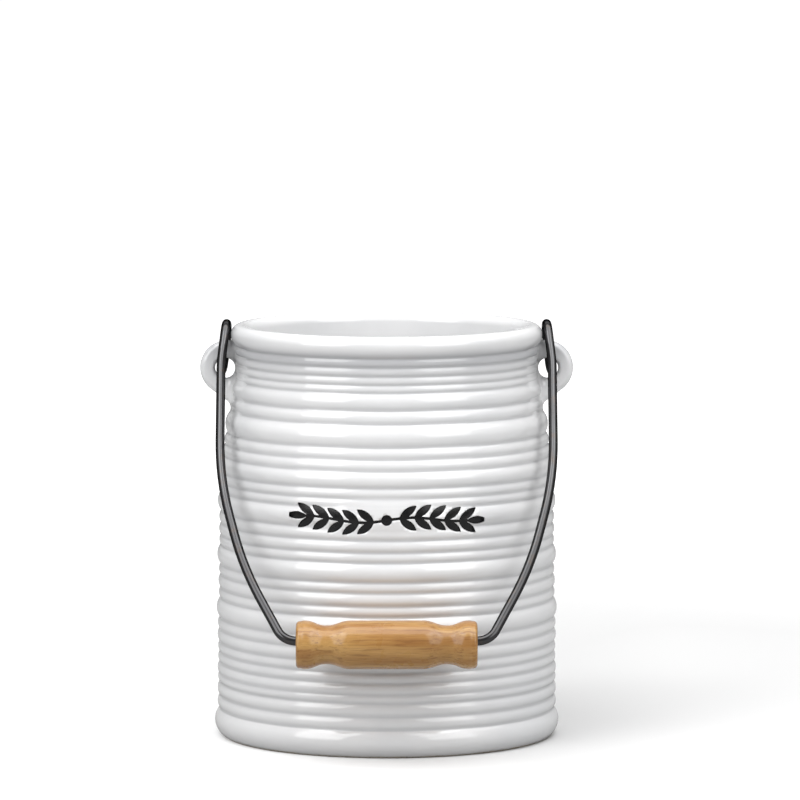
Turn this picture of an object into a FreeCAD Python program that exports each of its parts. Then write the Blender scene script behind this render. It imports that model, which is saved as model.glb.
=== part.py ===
"""Stoneware crock with a wire bail handle and a turned wooden grip.

Millimetres. The origin is the centre of the flat base, +Z is up and the decorated front faces -Y.
The bail is modelled where it hangs: leaning forward with its grip against the front of the crock.
"""

import FreeCAD, Part
import math
import os

from FreeCAD import Vector

os.makedirs("parts", exist_ok=True)

# Crock: overall sizes
crock_height = 182.3
body_radius = 74.0          # bottom of the grooves on the straight wall
neck_draw_in = 7.9          # from the straight wall in to the narrowest part of the neck
neck_radius = body_radius - neck_draw_in
wall_thickness = 5.2
floor_thickness = 7.0
inner_corner_radius = 9.0

# Foot
foot_height = 12.2
foot_overhang = 2.3         # from the straight wall out to the widest point of the rounded foot
foot_bulge_height = 6.2
base_setback = 1.7          # from the straight wall in to the edge of the flat base

# Rim
rim_height = 9.5
rim_overhang = 2.7          # from the neck out to the widest point of the rim
rim_outer_radius = neck_radius + rim_overhang
rim_thickness = 8.5
rim_underside_setback = 2.2
rim_underside_height = 2.4

# Thrown ribs from the foot up: height of the rib, then how far the groove above it is drawn in,
# from 0 at the straight wall to 1 at the neck, and how much of its full depth that groove has
rib_swell = 0.19            # how far a rib stands out, per millimetre of its height
ribs = [
    (5.8, 0.00, 1.0),
    (5.9, 0.00, 1.0),
    (3.9, 0.00, 0.4),
    (5.0, 0.00, 1.0),
    (4.6, 0.00, 1.0),
    (4.5, 0.00, 1.0),
    (5.7, 0.00, 1.0),
    (5.1, 0.01, 1.0),
    (8.7, 0.05, 1.0),
    (4.6, 0.06, 1.0),
    (5.8, 0.07, 1.0),
    (4.6, 0.07, 1.0),
    (8.6, 0.08, 1.0),
    (4.4, 0.09, 1.0),
    (5.3, 0.10, 1.0),
    (5.4, 0.11, 1.0),
    (8.8, 0.12, 1.0),
    (4.0, 0.14, 1.0),
    (4.4, 0.17, 1.0),
    (7.3, 0.25, 1.0),
    (5.0, 0.36, 1.0),
    (5.1, 0.47, 1.0),
    (9.8, 0.71, 1.0),
    (5.9, 0.84, 1.0),
    (7.5, 0.96, 1.0),
    (3.4, 1.00, 1.0),
    (3.7, 1.00, 1.0),
    (3.9, 0.98, 1.0),
    (3.9, 0.94, 1.0),
]
groove_depth = 0.6          # how much shallower a groove is when it has none of its full depth

# Smooth panel on the front, between two grooves of the wall
panel_first_rib = 15        # the panel starts on top of this many ribs
panel_last_rib = 18         # and ends on top of this many
panel_standout = 0.7        # from the straight wall out to the panel, at its middle
panel_curve_shift = 7.4     # how far the panel's own axis lies in front of the crock's axis
panel_edge_drop = 1.5       # how far the panel falls back at its top and bottom edge

# Leaf spray pressed into the panel
spray_half_length = 43.5
spray_rise = 1.1            # height of the stem's wave
stem_width = 1.3
leaf_length = 9.2
leaf_width = 3.5
leaf_pairs = 5              # pairs of leaves on each half of the spray
leaf_angle = 36.0
leaf_belly = 0.45           # where a leaf is widest, as a share of its length
stem_in_leaf = 0.3          # how far the stem runs into the end leaf, as a share of its length
first_pair = 0.85           # from the middle to the first pair, in steps from pair to pair
last_gap = 0.5              # from the last pair to the end leaf, in the same steps
spray_plane = -1.3 * body_radius   # where the outlines are drawn, in front of the crock
bud_radius = 2.4
press_depth = 0.8
enamel_thickness = 0.45     # coloured enamel on the floor of the pressed spray

# Bail wire
wire_diameter = 4.0
wire_radius = wire_diameter / 2

# Lugs
lug_radius = 12.0
lug_thickness = 6.4
lug_overhang = 1.6          # from the rim's outer radius to the lug's centre
lug_crown_above_rim_base = 2.3
lug_edge_rounding = 2.6
lug_hole_play = 2.5         # between the wire and the hole around it
lug_hole_radius = wire_radius + lug_hole_play
lug_hole_outward = 0.9      # from the lug's centre to the hole's centre
lug_hole_drop = 0.2
lug_hole_rounding = 1.6
pivot_rise = 0.6            # from the middle of the bridge over the hole up to the bail's pivot
lug_brace_reach = 18.2      # how far below its centre the brace under the lug meets the wall
brace_foot_outset = 0.4     # from the neck out to the foot of the brace
root_fillet = 4.0
root_outset = 1.6           # from the start of the root to the first of its flared sections
root_corner = 3.0
root_sink = 0.02            # keeps the root's thin end just under the lug's faces
root_low_flare = 0.5        # how much of the flare the root's lower end takes
root_low_lift = 0.8         # and how far it climbs per millimetre outward
root_high_flare = 0.4
root_crown_drop = 1.0
root_inner_drop = 2.0
root_overlap = 1.4          # how deep the root reaches into the wall before it is trimmed

# Shape of the bail
eye_play = 2.3              # between the lug's face and each strand of the eye
eye_half_width = lug_thickness / 2 + eye_play + wire_radius
eye_straight_above = 3.5    # straight part of the eye, from its middle up
eye_straight_below = 2.7    # and from its middle down to the bend that goes through the hole
eye_rim_clearance = 0.9     # from the rim to the strand beside it, where the eye passes the pivot
eye_slope = 0.1             # outward travel of the eye per millimetre of its length
bail_spread = 4.0           # from the rim's outer radius to the arm's centre
bail_bend_radius = 150.0
grip_bend_radius = 9.0
eye_bend_radius = 60.0

# Grip
grip_length = 78.0
grip_radius = 10.5
grip_waist_radius = 8.35
grip_end_radius = 10.2      # beside the rounding of the grip's end
grip_end_rounding = 1.6
grip_waist_position = 26.0
grip_shoulder_position = 15.5
grip_bulge_position = 35.3
grip_bore_play = 1.7        # between the wire and the bore around it
grip_bore_radius = wire_radius + grip_bore_play
grip_swell = 0.45           # fullness of the curves between bulge, waist and shoulder
grip_running_gap = 0.1      # between the wire and the top of the bore that hangs on it
grip_rest_gap = 0.3         # between the grip and the crock, where the grip rests

# Where the bail's arms turn, as shares of the length from pivot to grip, and how far in they are there
arm_upper_turn = 0.465
arm_lower_turn = 0.76
arm_lower_inset = 10.7
grip_corner_outset = 5.4    # from the grip's end to the corner of the wire beside it
grip_centre_height = 51.4   # of the grip that rests on the crock


def vec(x, y, z):
    """Short form of a point or direction."""
    return Vector(x, y, z)


def line(a, b):
    """Straight edge."""
    return Part.makeLine(a, b)


def arc(a, mid, b):
    """Circular edge through three points."""
    return Part.Arc(a, mid, b).toShape()


def revolve_profile(edges, axis_point=Vector(0, 0, 0)):
    """Solid of revolution about a vertical axis, from a closed outline in the XZ plane."""
    face = Part.Face(Part.Wire(edges))
    return face.revolve(axis_point, vec(0, 0, 1), 360)


def wall_top():
    """Height where the ribbed wall ends and the rim starts."""
    return crock_height - rim_height


def rib_heights():
    """Heights of the grooves, from the top of the foot to the underside of the rim."""
    total = sum(rib[0] for rib in ribs)
    scale = (wall_top() - foot_height) / total
    heights = [foot_height]
    for rib in ribs:
        heights.append(heights[-1] + rib[0] * scale)
    return heights


def groove_radius(draw_in, depth_share):
    """Radius at the bottom of a groove."""
    return body_radius - draw_in * neck_draw_in + (1.0 - depth_share) * groove_depth


def groove_points():
    """Points at the bottom of each groove, in the XZ plane."""
    heights = rib_heights()
    points = [vec(body_radius, 0, heights[0])]
    for rib, height in zip(ribs, heights[1:]):
        points.append(vec(groove_radius(rib[1], rib[2]), 0, height))
    return points


def rib_arc(lower, upper):
    """One convex rib between two grooves."""
    chord = upper - lower
    outward = vec(chord.z, 0, -chord.x)
    outward.normalize()
    middle = (lower + upper) * 0.5 + outward * (rib_swell * chord.Length)
    return arc(lower, middle, upper)


def rim_edges(start):
    """Edges of the rolled rim, from its underside over the top to its inner side."""
    top_radius = rim_thickness / 2
    top_centre_r = rim_outer_radius - top_radius
    spring = crock_height - top_radius
    outer = vec(rim_outer_radius, 0, spring)
    belly = vec(rim_outer_radius - 0.25 * rim_underside_setback, 0, wall_top() + rim_underside_height)
    crown = vec(top_centre_r, 0, crock_height)
    inner = vec(rim_outer_radius - rim_thickness, 0, spring)
    return [arc(start, belly, outer), arc(outer, crown, inner)], inner


def inner_edges(rim_inner):
    """Edges of the smooth inside, from the rim's inner side down to the middle of the floor."""
    belly_radius = body_radius - wall_thickness
    throat_radius = neck_radius - wall_thickness
    heights = rib_heights()
    shoulder = heights[-9]
    throat = heights[-3]
    corner = inner_corner_radius
    throat_point = vec(throat_radius, 0, throat)
    belly_point = vec(belly_radius, 0, shoulder)
    curve = Part.BezierCurve()
    curve.setPoles([
        throat_point,
        vec(throat_radius, 0, throat - 0.45 * (throat - shoulder)),
        vec(belly_radius, 0, shoulder + 0.45 * (throat - shoulder)),
        belly_point,
    ])
    low = vec(belly_radius, 0, floor_thickness + corner)
    turn = corner * (1.0 - math.sqrt(0.5))
    low_mid = vec(belly_radius - turn, 0, floor_thickness + turn)
    floor_edge = vec(belly_radius - corner, 0, floor_thickness)
    centre = vec(0, 0, floor_thickness)
    return [
        line(rim_inner, throat_point),
        curve.toShape(),
        line(belly_point, low),
        arc(low, low_mid, floor_edge),
        line(floor_edge, centre),
        line(centre, vec(0, 0, 0)),
    ]


def crock_shell():
    """Thrown crock, without its front panel."""
    base_edge = vec(body_radius - base_setback, 0, 0)
    foot_bulge = vec(body_radius + foot_overhang, 0, foot_bulge_height)
    grooves = groove_points()
    edges = [line(vec(0, 0, 0), base_edge), arc(base_edge, foot_bulge, grooves[0])]
    for lower, upper in zip(grooves, grooves[1:]):
        edges.append(rib_arc(lower, upper))
    rim, rim_inner = rim_edges(grooves[-1])
    edges += rim
    edges += inner_edges(rim_inner)
    return revolve_profile(edges)


def panel_barrel(offset):
    """Barrel that carries the panel's surface, its radius changed by offset."""
    heights = rib_heights()
    low = heights[panel_first_rib]
    high = heights[panel_last_rib]
    middle = (low + high) / 2
    shift = vec(0, -panel_curve_shift, 0)
    radius = body_radius + panel_standout - panel_curve_shift + offset
    low_point = vec(radius - panel_edge_drop, 0, low) + shift
    high_point = vec(radius - panel_edge_drop, 0, high) + shift
    edges = [
        line(vec(0, 0, low) + shift, low_point),
        arc(low_point, vec(radius, 0, middle) + shift, high_point),
        line(high_point, vec(0, 0, high) + shift),
        line(vec(0, 0, high) + shift, vec(0, 0, low) + shift),
    ]
    return revolve_profile(edges, shift)


def front_panel():
    """Front part of the barrel, as thick as the wall allows."""
    keep = Part.makeBox(4 * body_radius, 2 * body_radius, crock_height)
    keep.translate(vec(-2 * body_radius, -2 * body_radius - 0.5 * body_radius, 0))
    core = Part.makeCylinder(body_radius - 0.5 * wall_thickness, crock_height)
    return panel_barrel(0).common(keep).cut(core)


def stem_height(x):
    """Height of the stem above the middle of the panel."""
    return spray_rise * math.sin(2 * math.pi * x / spray_half_length)


def prism(wire):
    """Outline on the front, carried straight back through the wall."""
    face = Part.Face(wire)
    return face.extrude(vec(0, body_radius / 2, 0))


def leaf(x, z, angle, length, width):
    """Pointed leaf that starts at x, z and lies at angle degrees."""
    turn = math.radians(angle)
    along = vec(math.cos(turn), 0, math.sin(turn))
    across = vec(-math.sin(turn), 0, math.cos(turn))
    root = vec(x, spray_plane, z)
    tip = root + along * length
    belly = root + along * (leaf_belly * length)
    upper = arc(root, belly + across * (width / 2), tip)
    lower = arc(tip, belly - across * (width / 2), root)
    return prism(Part.Wire([upper, lower]))


def bud(z):
    """Round bud in the middle of the spray."""
    circle = Part.makeCircle(bud_radius, vec(0, spray_plane, z), vec(0, 1, 0))
    return prism(Part.Wire([circle]))


def stem(middle):
    """Thin waving stem along the whole spray."""
    steps = 16
    reach = spray_half_length - (1 - stem_in_leaf) * leaf_length
    xs = [-reach + 2 * reach * i / steps for i in range(steps + 1)]
    top = [vec(x, spray_plane, middle + stem_height(x) + stem_width / 2) for x in xs]
    bottom = [vec(x, spray_plane, middle + stem_height(x) - stem_width / 2) for x in xs]
    upper = Part.BSplineCurve()
    upper.interpolate(top)
    lower = Part.BSplineCurve()
    lower.interpolate(bottom[::-1])
    ends = [line(top[-1], bottom[-1]), line(bottom[0], top[0])]
    return prism(Part.Wire([upper.toShape(), ends[0], lower.toShape(), ends[1]]))


def spray_prisms():
    """Solids that mark out the spray, run through the front of the wall."""
    heights = rib_heights()
    middle = (heights[panel_first_rib] + heights[panel_last_rib]) / 2
    pitch = (spray_half_length - leaf_length) / (first_pair + leaf_pairs - 1 + last_gap)
    solids = [stem(middle), bud(middle)]
    for side in (-1, 1):
        for i in range(leaf_pairs):
            x = side * (first_pair + i) * pitch
            z = middle + stem_height(x)
            for up in (-1, 1):
                angle = up * leaf_angle
                if side < 0:
                    angle = 180 - angle
                solids.append(leaf(x, z, angle, leaf_length, leaf_width))
        end_x = side * (spray_half_length - leaf_length)
        end_angle = 0 if side > 0 else 180
        solids.append(leaf(end_x, middle + stem_height(end_x), end_angle, leaf_length, leaf_width))
    return solids


def lug_centre():
    """Centre of the right lug's disc."""
    z = wall_top() + lug_crown_above_rim_base - lug_radius
    return vec(rim_outer_radius + lug_overhang, 0, z)


def pivot_height():
    """Height of the bail's pivot, in the bridge between the lug's hole and its crown."""
    centre = lug_centre()
    crown = centre.z + lug_radius
    hole_top = centre.z - lug_hole_drop + lug_hole_radius
    return (crown + hole_top) / 2 + pivot_rise


def hole_centre():
    """Centre of the right lug's hole."""
    return lug_centre() + vec(lug_hole_outward, 0, -lug_hole_drop)


def fillet_edges(shape, chosen, radius):
    """Rounds the edges for which chosen(edge) is true."""
    edges = [edge for edge in shape.Edges if chosen(edge)]
    return shape.makeFillet(radius, edges)


def lug_plate():
    """Flat lug with its brace, edges rounded, before its hole is made."""
    centre = lug_centre()
    root_x = neck_radius - wall_thickness / 2
    foot = vec(neck_radius + brace_foot_outset, 0, centre.z - lug_brace_reach)
    to_centre = centre - foot
    swing = math.asin(lug_radius / to_centre.Length)
    heading = math.atan2(to_centre.z, to_centre.x) - swing
    reach = math.sqrt(to_centre.Length ** 2 - lug_radius ** 2)
    tangent = foot + vec(math.cos(heading), 0, math.sin(heading)) * reach
    crown = centre + vec(0, 0, lug_radius)
    outermost = centre + vec(lug_radius, 0, 0)
    inner_top = vec(root_x, 0, crown.z)
    inner_low = vec(root_x, 0, foot.z)
    outline = Part.Wire([
        line(inner_low, foot),
        line(foot, tangent),
        arc(tangent, outermost, crown),
        line(crown, inner_top),
        line(inner_top, inner_low),
    ])
    face = Part.Face(outline)
    face.translate(vec(0, -lug_thickness / 2, 0))
    plate = face.extrude(vec(0, lug_thickness, 0))

    def on_outline(edge):
        box = edge.BoundBox
        flat = box.YLength < 0.01
        return flat and box.XMax > foot.x + 0.5

    return fillet_edges(plate, on_outline, lug_edge_rounding)


def rounded_section(x, half_y, z_low, z_high, corner):
    """Closed rounded rectangle in the plane at x."""
    corner = min(corner, 0.98 * half_y)
    k = corner * (1.0 - math.sqrt(0.5))
    a = [
        vec(x, -half_y, z_low + corner), vec(x, -half_y, z_high - corner),
        vec(x, -half_y + corner, z_high), vec(x, half_y - corner, z_high),
        vec(x, half_y, z_high - corner), vec(x, half_y, z_low + corner),
        vec(x, half_y - corner, z_low), vec(x, -half_y + corner, z_low),
    ]
    return Part.Wire([
        line(a[0], a[1]),
        arc(a[1], vec(x, -half_y + k, z_high - k), a[2]),
        line(a[2], a[3]),
        arc(a[3], vec(x, half_y - k, z_high - k), a[4]),
        line(a[4], a[5]),
        arc(a[5], vec(x, half_y - k, z_low + k), a[6]),
        line(a[6], a[7]),
        arc(a[7], vec(x, -half_y + k, z_low + k), a[0]),
    ])


def lug_root():
    """Flared root that blends the lug into the wall."""
    centre = lug_centre()
    start = neck_radius - root_overlap
    steps = 5
    sections = []
    for i in range(steps + 1):
        out = root_fillet * i / steps
        flare = root_fillet - math.sqrt(root_fillet ** 2 - (root_fillet - out) ** 2)
        half_y = lug_thickness / 2 + flare - root_sink
        z_low = centre.z - lug_brace_reach - root_low_flare * flare + root_low_lift * out
        z_high = centre.z + lug_radius - root_crown_drop + root_high_flare * flare
        sections.append(rounded_section(start + root_outset + out, half_y, z_low, z_high, root_corner))
    inner_half_y = lug_thickness / 2 + root_fillet
    inner_low = centre.z - lug_brace_reach - root_inner_drop
    inner = rounded_section(start, inner_half_y, inner_low, centre.z + lug_radius, root_corner)
    return Part.makeLoft([inner] + sections, True, True)


def lug(wall):
    """Right lug: plate, root and hole, trimmed to the outside of the wall."""
    hole = hole_centre()

    def bore(radius):
        return Part.makeCylinder(radius, 4 * lug_radius, hole - vec(0, 2 * lug_radius, 0), vec(0, 1, 0))

    def on_hole(edge):
        box = edge.BoundBox
        return abs(box.XLength - 2 * lug_hole_radius) < 0.05 and box.YLength < 0.05

    plate = fillet_edges(lug_plate().cut(bore(lug_hole_radius)), on_hole, lug_hole_rounding)
    root = lug_root().cut(bore(lug_hole_radius + 0.7 * lug_hole_rounding))
    blank = plate.fuse(root)
    trimmed = blank.cut(wall)
    return max(trimmed.Solids, key=lambda solid: solid.Volume)


def mirrored(shape):
    """Left-hand copy of a right-hand piece."""
    return shape.mirror(vec(0, 0, 0), vec(1, 0, 0))


def rib_crests():
    """Outermost points of the ribs, as (radius, height)."""
    grooves = groove_points()
    crests = []
    for lower, upper in zip(grooves, grooves[1:]):
        radius = (lower.x + upper.x) / 2 + rib_swell * (upper.z - lower.z)
        crests.append((radius, (lower.z + upper.z) / 2))
    return crests


def grip_reach():
    """Distance from the crock's axis to the grip's centre when the grip rests on the ribs."""
    touch = grip_radius + grip_rest_gap
    reach = 0
    for radius, height in rib_crests():
        rise = abs(height - grip_centre_height)
        if rise < touch:
            reach = max(reach, radius + math.sqrt(touch ** 2 - rise ** 2))
    return reach


def bail_frame():
    """Lean of the hanging bail in radians, and its length from pivot to the wire in the grip."""
    drop = pivot_height() - (grip_centre_height + wire_lift())
    span = math.hypot(grip_reach(), drop)
    lean = math.atan2(grip_reach(), drop) - math.asin(eye_half_width / span)
    return lean, math.sqrt(span ** 2 - eye_half_width ** 2)


def wire_lift():
    """Height of the wire's centre above the centre of the bore that hangs on it."""
    return grip_bore_radius - grip_running_gap - wire_radius


def rounded_path(points, radii):
    """Wire of straight runs joined by tangent arcs at the inner points."""
    edges = []
    start = points[0]
    for before, corner, after, radius in zip(points, points[1:], points[2:], radii):
        arrive = (corner - before).normalize()
        leave = (after - corner).normalize()
        half_turn = arrive.getAngle(leave) / 2
        setback = radius * math.tan(half_turn)
        first = corner - arrive * setback
        last = corner + leave * setback
        inward = (leave - arrive).normalize()
        middle = corner + inward * (radius / math.cos(half_turn) - radius)
        edges.append(line(start, first))
        edges.append(arc(first, middle, last))
        start = last
    edges.append(line(start, points[-1]))
    return edges


def sweep_wire(edges):
    """Round wire along a smooth path."""
    path = Part.Wire(edges)
    begin = edges[0].Vertexes[0].Point
    heading = edges[0].tangentAt(edges[0].FirstParameter)
    circle = Part.Wire([Part.makeCircle(wire_radius, begin, heading)])
    pipe = Part.BRepOffsetAPI.MakePipeShell(path)
    pipe.add(circle, False, False)
    pipe.build()
    pipe.makeSolid()
    return pipe.shape()


def bail():
    """Bail wire: two closed eyes, two arms and the straight run through the grip."""
    lean, length = bail_frame()
    down = vec(0, -math.sin(lean), -math.cos(lean))
    front = vec(0, -math.cos(lean), math.sin(lean))
    origin = vec(0, 0, pivot_height())
    eye_x = rim_outer_radius + eye_rim_clearance + wire_radius
    arm_x = rim_outer_radius + bail_spread

    def at(x, off, s):
        return origin + front * off + down * s + vec(x, 0, 0)

    def eye_at(off, s):
        return at(eye_x + eye_slope * s, off, s)

    w = eye_half_width
    above = eye_straight_above
    below = eye_straight_below
    corner_x = grip_length / 2 + grip_corner_outset
    arm_start = (arm_x - eye_x) / eye_slope
    lower_x = arm_x - arm_lower_inset
    arm_points = [
        eye_at(w, -above),
        eye_at(w, arm_start),
        at(arm_x, w, arm_upper_turn * length),
        at(lower_x, w, arm_lower_turn * length),
        at(corner_x, w, length),
        at(0, w, length),
    ]
    radii = [eye_bend_radius, bail_bend_radius, bail_bend_radius, grip_bend_radius]
    over_top = [arc(eye_at(-w, -above), eye_at(0, -above - w), eye_at(w, -above))]
    back_strand = [line(eye_at(-w, below), eye_at(-w, -above))]
    half = sweep_wire(back_strand + over_top + rounded_path(arm_points, radii))

    closing_turn = math.radians(150)
    half_turn = closing_turn / 2
    close_mid = eye_at(-w * math.cos(half_turn), below + w * math.sin(half_turn))
    close_end = eye_at(-w * math.cos(closing_turn), below + w * math.sin(closing_turn))
    closing = sweep_wire([arc(eye_at(-w, below), close_mid, close_end)])
    right = half.fuse(closing)
    whole = right.fuse(mirrored(right)).removeSplitter()
    return max(whole.Solids, key=lambda solid: solid.Volume)


def grip_centre():
    """Centre of the grip at rest."""
    return vec(0, -grip_reach(), grip_centre_height)


def swell(start, end):
    """Smooth S-shaped edge that leaves and arrives along the grip."""
    reach = grip_swell * (end.x - start.x)
    curve = Part.BezierCurve()
    curve.setPoles([start, vec(start.x + reach, 0, start.z), vec(end.x - reach, 0, end.z), end])
    return curve.toShape()


def grip():
    """Turned grip with a barrel, two waists and two rounded ends."""
    end = grip_length / 2
    corner = grip_end_rounding
    bore_end = vec(end, 0, grip_bore_radius)
    end_low = vec(end, 0, grip_end_radius - corner)
    inset = corner * (1.0 - math.sqrt(0.5))
    end_mid = vec(end - inset, 0, grip_end_radius - inset)
    end_high = vec(end - corner, 0, grip_end_radius)
    crest = vec(grip_bulge_position, 0, grip_radius)
    waist = vec(grip_waist_position, 0, grip_waist_radius)
    shoulder = vec(grip_shoulder_position, 0, grip_radius)
    right_half = Part.Face(Part.Wire([
        line(vec(0, 0, grip_bore_radius), bore_end),
        line(bore_end, end_low),
        arc(end_low, end_mid, end_high),
        swell(end_high, crest),
        swell(crest, waist),
        swell(waist, shoulder),
        line(shoulder, vec(0, 0, grip_radius)),
        line(vec(0, 0, grip_radius), vec(0, 0, grip_bore_radius)),
    ])).revolve(vec(0, 0, 0), vec(1, 0, 0), 360)
    whole = right_half.fuse(mirrored(right_half)).removeSplitter()
    whole.translate(grip_centre())
    return whole.Solids[0]


def build():
    """All pieces by node name."""
    shell = crock_shell()
    body = shell.fuse(front_panel()).removeSplitter()
    outer_block = shell.fuse(Part.makeCylinder(neck_radius - wall_thickness / 2, wall_top()))
    marks = spray_prisms()
    spray = marks[0].fuse(marks[1:])
    press_floor = panel_barrel(-press_depth)
    body = body.cut(spray.cut(press_floor))
    enamel_layer = panel_barrel(-press_depth + enamel_thickness).cut(press_floor)
    enamel = spray.common(enamel_layer)
    right_lug = lug(outer_block)
    return {
        "crock_body": body,
        "lug_right": right_lug,
        "lug_left": mirrored(right_lug),
        "bail_wire": bail(),
        "wooden_grip": grip(),
        "leaf_spray_enamel": enamel,
    }


def main():
    """Writes one STEP file for each node."""
    for name, shape in build().items():
        box = shape.BoundBox
        print(name, len(shape.Solids), shape.isValid(), round(shape.Volume, 1),
              [round(v, 2) for v in (box.XMin, box.XMax, box.YMin, box.YMax, box.ZMin, box.ZMax)])
        shape.exportStep("parts/" + name + ".step")
    lean, length = bail_frame()
    print("pivot height", round(pivot_height(), 3), "lean", round(math.degrees(lean), 3),
          "bail length", round(length, 3), "grip centre", grip_centre())


main()
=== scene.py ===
"""Utensil crock: a white glazed pot with thrown ribs, a dark wire bail and a turned wooden grip.

Metres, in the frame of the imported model: the base stands on z = 0 and the decorated front faces -Y.
"""

import logging
import math
from collections.abc import Callable, Iterator
from contextlib import contextmanager
from dataclasses import dataclass
from enum import Enum
from functools import cached_property

import bpy
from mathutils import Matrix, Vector

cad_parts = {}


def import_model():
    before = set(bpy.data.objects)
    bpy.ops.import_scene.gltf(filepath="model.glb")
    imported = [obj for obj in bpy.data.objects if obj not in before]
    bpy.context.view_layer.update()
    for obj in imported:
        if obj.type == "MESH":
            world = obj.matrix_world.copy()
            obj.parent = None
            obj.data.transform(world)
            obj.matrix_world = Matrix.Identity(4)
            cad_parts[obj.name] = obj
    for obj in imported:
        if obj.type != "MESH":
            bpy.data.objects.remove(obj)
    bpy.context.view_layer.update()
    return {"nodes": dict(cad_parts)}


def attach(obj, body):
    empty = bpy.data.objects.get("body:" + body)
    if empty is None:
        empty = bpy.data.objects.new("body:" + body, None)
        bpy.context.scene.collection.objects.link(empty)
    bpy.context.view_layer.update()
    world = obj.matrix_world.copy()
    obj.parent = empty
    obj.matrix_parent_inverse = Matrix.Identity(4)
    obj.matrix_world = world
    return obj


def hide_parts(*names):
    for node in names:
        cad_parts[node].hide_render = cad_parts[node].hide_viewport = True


LOG = logging.getLogger("utensil_crock")
MM = 0.001
Colour = tuple[float, float, float, float]
Span = tuple[float, float]


class Body(Enum):
    """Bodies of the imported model."""

    CROCK = "crock"
    BAIL = "bail"
    GRIP = "grip"


class Join(Enum):
    """Ways to combine a piece with a helper object."""

    UNITE = "UNION"
    CUT = "DIFFERENCE"
    KEEP_INSIDE = "INTERSECT"


# Helpers for selecting and shaping


def deselect_all() -> None:
    """Leave edit mode and deselect every object."""
    if bpy.context.object and bpy.context.object.mode != "OBJECT":
        bpy.ops.object.mode_set(mode="OBJECT")
    bpy.ops.object.select_all(action="DESELECT")


def activate(piece: bpy.types.Object) -> None:
    """Make one object the only selected one.

    Args:
        piece: The object to select.
    """
    deselect_all()
    piece.select_set(True)
    bpy.context.view_layer.objects.active = piece


@contextmanager
def editing(piece: bpy.types.Object) -> Iterator[None]:
    """Edit mode on one piece, left again at the end.

    Args:
        piece: The mesh object to edit.

    Yields:
        Nothing, while the piece is being edited.
    """
    activate(piece)
    bpy.ops.object.mode_set(mode="EDIT")
    yield
    bpy.ops.object.mode_set(mode="OBJECT")


def pick_vertices(piece: bpy.types.Object, test: Callable[[Vector], bool]) -> None:
    """Select the vertices whose place passes a test, in the piece that is being edited.

    Args:
        piece: The mesh object in edit mode.
        test: Takes a vertex's place and says whether it is picked.
    """
    bpy.ops.mesh.select_mode(type="VERT")
    bpy.ops.mesh.select_all(action="DESELECT")
    bpy.ops.object.mode_set(mode="OBJECT")
    for vertex in piece.data.vertices:
        vertex.select = test(vertex.co)
    bpy.ops.object.mode_set(mode="EDIT")


def pick_faces(piece: bpy.types.Object, test: Callable[[Vector], bool]) -> None:
    """Select the faces whose normal passes a test, in the piece that is being edited.

    Args:
        piece: The mesh object in edit mode.
        test: Takes a face's normal and says whether it is picked.
    """
    bpy.ops.mesh.select_mode(type="FACE")
    bpy.ops.mesh.select_all(action="DESELECT")
    bpy.ops.object.mode_set(mode="OBJECT")
    for face in piece.data.polygons:
        face.select = test(face.normal)
    bpy.ops.object.mode_set(mode="EDIT")


def extrude(shift: Vector | tuple[float, float, float]) -> None:
    """Extrude what is selected in edit mode by a shift."""
    bpy.ops.mesh.extrude_region_move(TRANSFORM_OT_translate={"value": shift})


def traced(name: str, outline: list[Vector]) -> bpy.types.Object:
    """Draw an outline as a chain of edges.

    Args:
        name: Name of the new object.
        outline: Points of the outline, in order.

    Returns:
        The chain.
    """
    deselect_all()
    bpy.ops.mesh.primitive_plane_add(size=MM, location=outline[0])
    piece = bpy.context.object
    piece.name = piece.data.name = name
    bpy.ops.object.transform_apply(location=True)
    with editing(piece):
        bpy.ops.mesh.merge(type="CENTER")
        for start, end in zip(outline, outline[1:]):
            extrude(end - start)
    return piece


def turned(name: str, outline: list[Vector], steps: int) -> bpy.types.Object:
    """Turn an outline about the upright axis, as a potter does.

    Args:
        name: Name of the new object.
        outline: Points of the outline, in order.
        steps: Number of steps round the full turn.

    Returns:
        The closed, turned object.
    """
    piece = traced(name, outline)
    with editing(piece):
        bpy.ops.mesh.select_all(action="SELECT")
        bpy.ops.mesh.spin(steps=steps, angle=math.tau, center=(0, 0, 0), axis=(0, 0, 1))
        bpy.ops.mesh.select_all(action="SELECT")
        bpy.ops.mesh.remove_doubles(threshold=0.002 * MM)
        bpy.ops.mesh.normals_make_consistent(inside=False)
    return piece


def copied(name: str, source: bpy.types.Object) -> bpy.types.Object:
    """Copy a piece, with its own mesh.

    Args:
        name: Name of the copy.
        source: The piece to copy.

    Returns:
        The copy, free of any body.
    """
    activate(source)
    bpy.ops.object.duplicate()
    copy = bpy.context.object
    copy.parent = None
    copy.name = copy.data.name = name
    return copy


def close_seams(piece: bpy.types.Object) -> None:
    """Merge the loose triangles of a copied piece into one closed surface."""
    with editing(piece):
        bpy.ops.mesh.select_all(action="SELECT")
        bpy.ops.mesh.remove_doubles(threshold=0.001 * MM)


def apply_modifier(piece: bpy.types.Object, kind: str, **settings: object) -> None:
    """Add a modifier with its settings and apply it.

    Args:
        piece: The object that gets it.
        kind: Blender's name for the kind of modifier.
        **settings: Values for the modifier's own settings.
    """
    activate(piece)
    modifier = piece.modifiers.new(kind.lower(), kind)
    for key, value in settings.items():
        setattr(modifier, key, value)
    bpy.ops.object.modifier_apply(modifier=modifier.name)


def combine(piece: bpy.types.Object, helper: bpy.types.Object, join: Join) -> None:
    """Combine a piece with a helper object, which is used up.

    Args:
        piece: The piece that stays.
        helper: The helper object.
        join: How the two are combined.
    """
    apply_modifier(piece, "BOOLEAN", object=helper, operation=join.value, solver="EXACT")
    bpy.data.objects.remove(helper)


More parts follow.
